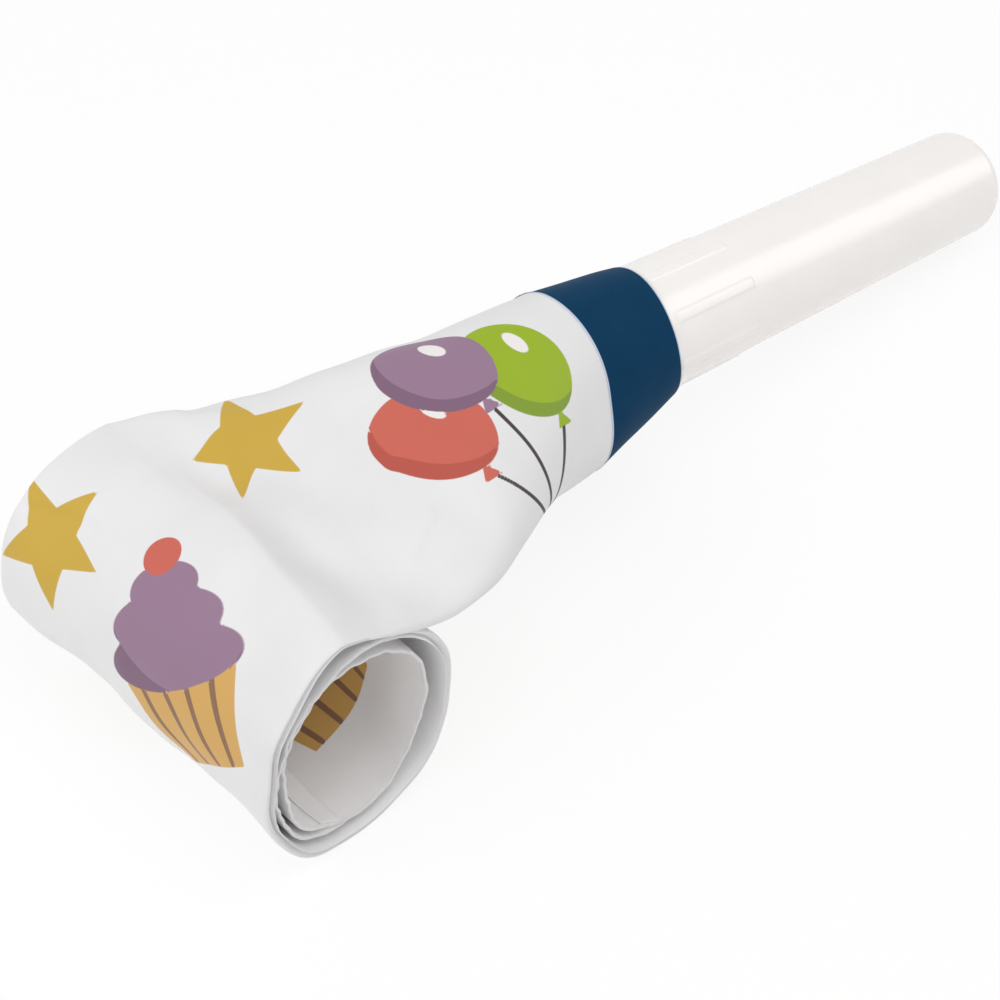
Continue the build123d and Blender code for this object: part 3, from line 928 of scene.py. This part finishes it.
theta = 2 * math.pi * np.arange(BAND_COLUMNS) / BAND_COLUMNS
edge_x = np.array([0.0, EDGE_ROUND, CUT_WIDTH, CUT_WIDTH + CUT_BLEND])
first_row = CUT_WIDTH + CUT_MARGIN
band_down = np.linspace(first_row, BAND_LENGTH - first_row, BAND_ROWS)
outer_x = -np.concatenate([edge_x, band_down, BAND_LENGTH - edge_x[::-1]])
inner_x = outer_x[::-1]
band_x = np.concatenate([outer_x, inner_x])[:, None]
is_outer = (np.arange(len(band_x)) < len(outer_x))[:, None]
band_r = BAND_FRONT_R - cone_slope * band_x - np.where(is_outer, 0.0, BAND_T)
band_r[[0, len(outer_x) - 1]] -= EDGE_ROUND
lap = (theta - LAP_BEARING) % (2 * math.pi)
lap_step = LAP_STEP * smooth_step(lap / LAP_FRONT) * (1 - smooth_step((lap - LAP_ARC) / LAP_FADE))
wave_fade = np.sin(math.pi * band_x / BAND_LENGTH)
band_wave = BAND_WAVE * np.sin(BAND_WAVES * theta + BAND_WAVE_TWIST * band_x) * wave_fade
band_out = -band_x / BAND_LENGTH
band_pull = pull(theta, FRONT_PULL + (1 - FRONT_PULL) * band_out, band_out ** 2)
band_reach = band_r + is_outer * (lap_step + band_wave) + band_pull
edge_shift = (EDGE_MEAN - EDGE_SADDLE * np.cos(2 * (theta - EDGE_BEARING))) * (1 - band_out)
band_points = np.stack([band_x + edge_shift, band_reach * np.cos(theta), band_reach * np.sin(theta)], axis=-1)
edge_gap = np.minimum(-band_x, BAND_LENGTH + band_x)
cut = np.where(is_outer, edge_gap < CUT_WIDTH + CUT_BLEND / 2, 1.0) + 0 * theta


def dyed_band_paper():
    """Dark blue printed paper: a matt coat with fine fibres, and a pale core along its cut edges."""
    material, tree = new_material("dyed_band_paper")
    place = add(tree, "ShaderNodeTexCoord").outputs["Object"]
    fibre = add(tree, "ShaderNodeTexNoise", {"Vector": place, "Scale": 1 / (BAND_FIBRE * MM), "Detail": 4.0})
    blotch = add(tree, "ShaderNodeTexNoise", {"Vector": place, "Scale": 1 / (BLOTCH * MM), "Detail": 2.0})
    tone = add(tree, "ShaderNodeMix", {
        "Factor": blotch.outputs["Fac"], "A": linear("#003556"), "B": linear("#053C5D"),
    }, data_type="RGBA")
    core = add(tree, "ShaderNodeAttribute", attribute_name="cut_edge")
    colour = add(tree, "ShaderNodeMix", {
        "Factor": core.outputs["Fac"], "A": tone.outputs["Result"], "B": linear("#C6D0E0"),
    }, data_type="RGBA")
    bump = add(tree, "ShaderNodeBump", {
        "Height": fibre.outputs["Fac"], "Strength": 0.2, "Distance": 0.04 * MM,
    })
    shader = add(tree, "ShaderNodeBsdfPrincipled", {
        "Base Color": colour.outputs["Result"], "Roughness": 0.6, "IOR": 1.45,
        "Specular IOR Level": 0.06, "Normal": bump.outputs["Normal"],
    })
    add(tree, "ShaderNodeOutputMaterial", {"Surface": shader.outputs["BSDF"]})
    return material


band = grid_piece("neck_band_wrap", band_points, True, ring=True, fields={"cut_edge": cut})
band.data.materials.append(dyed_band_paper())
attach(band, "horn")
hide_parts("neck_band")
print(f"band: {BAND_LENGTH} mm long, {BAND_COLUMNS} columns")

# %% [markdown]
# The mouthpiece is one moulded tube: tapered outside, rounded at the tip, with a bore inside and a
# socket for the reed at the rear. Eight low ribs stand out near the band. A lathe modifier could turn
# the outline, but a grid lets the ribs be part of the same skin. The columns run backwards round the
# tube, so that its faces look outwards.

# %% Mouthpiece
MOUTH_COLUMNS = 384
MOUTH_TIP_R = 6.85
MOUTH_TIP_ROUND = 2.2
MOUTH_SOCKET_DEPTH = 12.5
BORE_REAR_R = 6.2
COLLAR_R = 7.0
COLLAR_LENGTH = 9.0
COLLAR_INSET = 1.0
RIB_COUNT = 8
RIB_START = 0.5
RIB_LENGTH = 13.5
RIB_WIDTH = 1.6
RIB_HEIGHT = 0.15
RIB_SOFTNESS = 0.30
RIB_RUNOUT = 1.0
CORNER = 0.05
TIP_ROWS = 16
HIDDEN_ROWS = 10
RIBBED_ROWS = 100
PLAIN_ROWS = 50
BORE_ROWS = 12
TAPER_ROWS = 20
SOCKET_ROWS = 8
STEP_ROWS = 3
FLOW_SIZE = 9.0

bore_r = tip_bore["dims"]["r_mm"]
socket_floor = COLLAR_INSET + COLLAR_LENGTH - MOUTH_SOCKET_DEPTH
paper_inset = BAND_T + NECK_WALL
mouth_front_r = BAND_FRONT_R - paper_inset
round_turn = np.radians(np.linspace(0.0, 90.0, TIP_ROWS))
round_x = MOUTH_LENGTH - MOUTH_TIP_ROUND * (1 - np.sin(round_turn))
round_r = MOUTH_TIP_R - MOUTH_TIP_ROUND * (1 - np.cos(round_turn))


def run(x0, r0, x1, r1, count):
    """Straight run of an outline, with an extra point close to each end to keep its corners crisp."""
    reach = math.hypot(x1 - x0, r1 - r0)
    t = np.concatenate([[0.0], np.linspace(CORNER / reach, 1 - CORNER / reach, count)])
    return np.column_stack([x0 + (x1 - x0) * t, r0 + (r1 - r0) * t])


rear_r = BAND_FRONT_R + cone_slope * MOUTH_SOCKET_DEPTH - paper_inset
rib_end = RIB_START + RIB_LENGTH + RIB_RUNOUT
rib_end_r = mouth_front_r + (MOUTH_TIP_R - mouth_front_r) * rib_end / MOUTH_LENGTH
round_start_r = mouth_front_r + (MOUTH_TIP_R - mouth_front_r) * round_x[0] / MOUTH_LENGTH
outline = np.concatenate([
    run(-MOUTH_SOCKET_DEPTH, rear_r, 0.0, mouth_front_r, HIDDEN_ROWS),
    run(0.0, mouth_front_r, rib_end, rib_end_r, RIBBED_ROWS),
    run(rib_end, rib_end_r, round_x[0], round_start_r, PLAIN_ROWS),
    np.column_stack([round_x, round_r + (round_start_r - MOUTH_TIP_R) * np.cos(round_turn)]),
    run(MOUTH_LENGTH, bore_r, MOUTH_LENGTH - bore_length, bore_r, BORE_ROWS),
    run(MOUTH_LENGTH - bore_length, bore_r, socket_floor, BORE_REAR_R, TAPER_ROWS),
    run(socket_floor, BORE_REAR_R, socket_floor, COLLAR_R, STEP_ROWS),
    run(socket_floor, COLLAR_R, -MOUTH_SOCKET_DEPTH, COLLAR_R, SOCKET_ROWS),
    run(-MOUTH_SOCKET_DEPTH, COLLAR_R, -MOUTH_SOCKET_DEPTH, rear_r, STEP_ROWS),
])
mouth_x = outline[:, 0:1]
mouth_r = outline[:, 1:2]
bearing = -2 * math.pi * np.arange(MOUTH_COLUMNS) / MOUTH_COLUMNS
pitch = 2 * math.pi / RIB_COUNT
off_rib = np.abs((bearing + pitch / 2) % pitch - pitch / 2) * mouth_r
rib_sides = smooth_step((RIB_WIDTH / 2 - off_rib) / RIB_SOFTNESS)
rib_ends = smooth_step((mouth_x - RIB_START) / RIB_SOFTNESS)
rib_ends = rib_ends * smooth_step((RIB_START + RIB_LENGTH - mouth_x) / RIB_SOFTNESS)
shaped_rows = HIDDEN_ROWS + 1 + RIBBED_ROWS + 1
outside = (np.arange(len(outline)) < shaped_rows)[:, None]
hidden = np.clip(-mouth_x / BAND_LENGTH, 0, 1)
reach = mouth_r + (RIB_HEIGHT * rib_sides * rib_ends + pull(bearing, 0.0, hidden ** 2)) * outside
mouth_points = np.stack([mouth_x + 0 * bearing, reach * np.cos(bearing), reach * np.sin(bearing)], axis=-1)


def moulded_polystyrene():
    """Warm white moulded plastic: glossy, with faint flow clouds and some light let through its wall."""
    material, tree = new_material("moulded_polystyrene")
    place = add(tree, "ShaderNodeTexCoord").outputs["Object"]
    flow = add(tree, "ShaderNodeTexNoise", {"Vector": place, "Scale": 1 / (FLOW_SIZE * MM), "Detail": 2.0})
    tone = add(tree, "ShaderNodeMix", {
        "Factor": flow.outputs["Fac"], "A": linear("#FAF4F0"), "B": linear("#FFFBF8"),
    }, data_type="RGBA")
    gloss = add(tree, "ShaderNodeMapRange", {
        "Value": flow.outputs["Fac"], "To Min": 0.20, "To Max": 0.28,
    })
    shader = add(tree, "ShaderNodeBsdfPrincipled", {
        "Base Color": tone.outputs["Result"], "Roughness": gloss.outputs["Result"], "IOR": 1.59,
        "Subsurface Weight": 0.15, "Subsurface Radius": (1.0, 0.85, 0.75), "Subsurface Scale": 1.5 * MM,
    })
    add(tree, "ShaderNodeOutputMaterial", {"Surface": shader.outputs["BSDF"]})
    return material


mouth = grid_piece("mouthpiece_shell", mouth_points, True, ring=True)
mouth.data.materials.append(moulded_polystyrene())
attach(mouth, "horn")
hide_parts("mouthpiece")
print(f"mouthpiece: {len(outline)} x {MOUTH_COLUMNS} points")

# %% [markdown]
# The reed sits inside the mouthpiece, out of sight. Its shell, wedge and tongue have the right shape
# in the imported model, so they only get finishes.

# %% Reed
GRAIN = 0.4
FILM_LINE = 3.0


def moulded_reed_plastic():
    """Plain moulded plastic, off-white and half matt, with a fine even texture from the mould."""
    material, tree = new_material("moulded_reed_plastic")
    place = add(tree, "ShaderNodeTexCoord").outputs["Object"]
    texture = add(tree, "ShaderNodeTexNoise", {"Vector": place, "Scale": 1 / (GRAIN * MM), "Detail": 3.0})
    tone = add(tree, "ShaderNodeMix", {
        "Factor": texture.outputs["Fac"], "A": linear("#DEDCD4"), "B": linear("#E9E7E0"),
    }, data_type="RGBA")
    bump = add(tree, "ShaderNodeBump", {
        "Height": texture.outputs["Fac"], "Strength": 0.2, "Distance": 0.03 * MM,
    })
    shader = add(tree, "ShaderNodeBsdfPrincipled", {
        "Base Color": tone.outputs["Result"], "Roughness": 0.45, "Normal": bump.outputs["Normal"],
    })
    add(tree, "ShaderNodeOutputMaterial", {"Surface": shader.outputs["BSDF"]})
    return material


def stiff_reed_film():
    """Thin stiff plastic film: pale grey, smooth, with the faint lengthwise lines of rolling."""
    material, tree = new_material("stiff_reed_film")
    place = add(tree, "ShaderNodeTexCoord").outputs["Object"]
    lines = add(tree, "ShaderNodeTexWave", {
        "Vector": place, "Scale": 1 / (FILM_LINE * MM), "Distortion": 1.0,
    }, bands_direction="Y")
    tone = add(tree, "ShaderNodeMix", {
        "Factor": lines.outputs["Fac"], "A": linear("#C9CDCD"), "B": linear("#D3D6D6"),
    }, data_type="RGBA")
    shader = add(tree, "ShaderNodeBsdfPrincipled", {
        "Base Color": tone.outputs["Result"], "Roughness": 0.28, "IOR": 1.57,
    })
    add(tree, "ShaderNodeOutputMaterial", {"Surface": shader.outputs["BSDF"]})
    return material


reed_finish = moulded_reed_plastic()
reed_finishes = {"reed_shell": reed_finish, "reed_wedge": reed_finish, "reed_tongue": stiff_reed_film()}
for node_name, finish in reed_finishes.items():
    slots = frame["nodes"][node_name].data.materials
    slots.clear()
    slots.append(finish)
print("reed: shell, wedge and tongue have their finishes")

# %% [markdown]
# The studio is a pale floor under soft lamps. The floor and the world answer camera rays with white, so
# the background is clean without more light on the horn, and a share of plain diffuse keeps the shadow.

# %% Studio
FLOOR_HALF = 3.0
FLOOR_WHITE = 0.86
WORLD_FILL = 0.53
# Name, place, aim, width, height, power, and whether the lamp lights surfaces or only shines in gloss
LAMPS = (
    ("top_softbox", (0.06, -0.16, 0.55), (0.0, 0.0, 0.0), 0.40, 0.40, 1.04, True),
    ("left_softbox", (-0.42, 0.08, 0.38), (-0.03, 0.0, 0.01), 0.30, 0.30, 0.82, True),
    ("right_softbox", (0.44, -0.18, 0.245), (0.035, 0.0, 0.02), 0.25, 0.30, 0.45, False),
)

floor_mesh = bpy.data.meshes.new("studio_floor")
floor_z = min(0.0, float(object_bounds()[0][2]))
floor_corners = [(-FLOOR_HALF, -FLOOR_HALF, floor_z), (FLOOR_HALF, -FLOOR_HALF, floor_z),
                 (FLOOR_HALF, FLOOR_HALF, floor_z), (-FLOOR_HALF, FLOOR_HALF, floor_z)]
floor_mesh.from_pydata(floor_corners, [], [(0, 1, 2, 3)])
floor = bpy.data.objects.new("studio_floor", floor_mesh)
bpy.context.scene.collection.objects.link(floor)


def seen_rays(tree):
    """One where a ray comes from the camera, a reflection or glass: the largest of the three answers."""
    path = add(tree, "ShaderNodeLightPath")
    mirror = add(tree, "ShaderNodeMath", operation="MAXIMUM")
    tree.links.new(path.outputs["Is Glossy Ray"], mirror.inputs[0])
    tree.links.new(path.outputs["Is Transmission Ray"], mirror.inputs[1])
    seen = add(tree, "ShaderNodeMath", operation="MAXIMUM")
    tree.links.new(path.outputs["Is Camera Ray"], seen.inputs[0])
    tree.links.new(mirror.outputs[0], seen.inputs[1])
    return seen.outputs[0]


def pale_floor():
    """Pale seamless paper: white to the camera, with part of it lit by the lamps so that shadows stay."""
    material, tree = new_material("pale_studio_floor")
    share = add(tree, "ShaderNodeMath", {0: seen_rays(tree), 1: FLOOR_WHITE}, operation="MULTIPLY")
    lit = add(tree, "ShaderNodeBsdfDiffuse", {"Color": linear("#FFFFFF")})
    white = add(tree, "ShaderNodeEmission", {"Strength": 1.0})
    mixed = add(tree, "ShaderNodeMixShader", {0: share.outputs[0], 1: lit.outputs[0], 2: white.outputs[0]})
    add(tree, "ShaderNodeOutputMaterial", {"Surface": mixed.outputs[0]})
    return material


floor_mesh.materials.append(pale_floor())
world = bpy.data.worlds.new("studio_world")
world.use_nodes = True
sky = world.node_tree
sky.nodes.clear()
level = add(sky, "ShaderNodeMapRange", {"Value": seen_rays(sky), "To Min": WORLD_FILL, "To Max": 1.0})
sky_light = add(sky, "ShaderNodeBackground", {"Color": (1, 1, 1, 1), "Strength": level.outputs["Result"]})
add(sky, "ShaderNodeOutputWorld", {"Surface": sky_light.outputs[0]})
bpy.context.scene.world = world

for name, place, aim, size_x, size_y, power, lights_surfaces in LAMPS:
    lamp = bpy.data.lights.new(name, "AREA")
    lamp.shape = "RECTANGLE"
    lamp.size = size_x
    lamp.size_y = size_y
    lamp.energy = power
    lamp_object = bpy.data.objects.new(name, lamp)
    lamp_object.location = place
    lamp_object.visible_diffuse = lights_surfaces
    direction = Vector(aim) - Vector(place)
    lamp_object.rotation_euler = direction.to_track_quat("-Z", "Y").to_euler()
    bpy.context.scene.collection.objects.link(lamp_object)
bpy.context.scene.view_settings.view_transform = "Standard"
print(f"studio: floor, world and {len(LAMPS)} lamps")
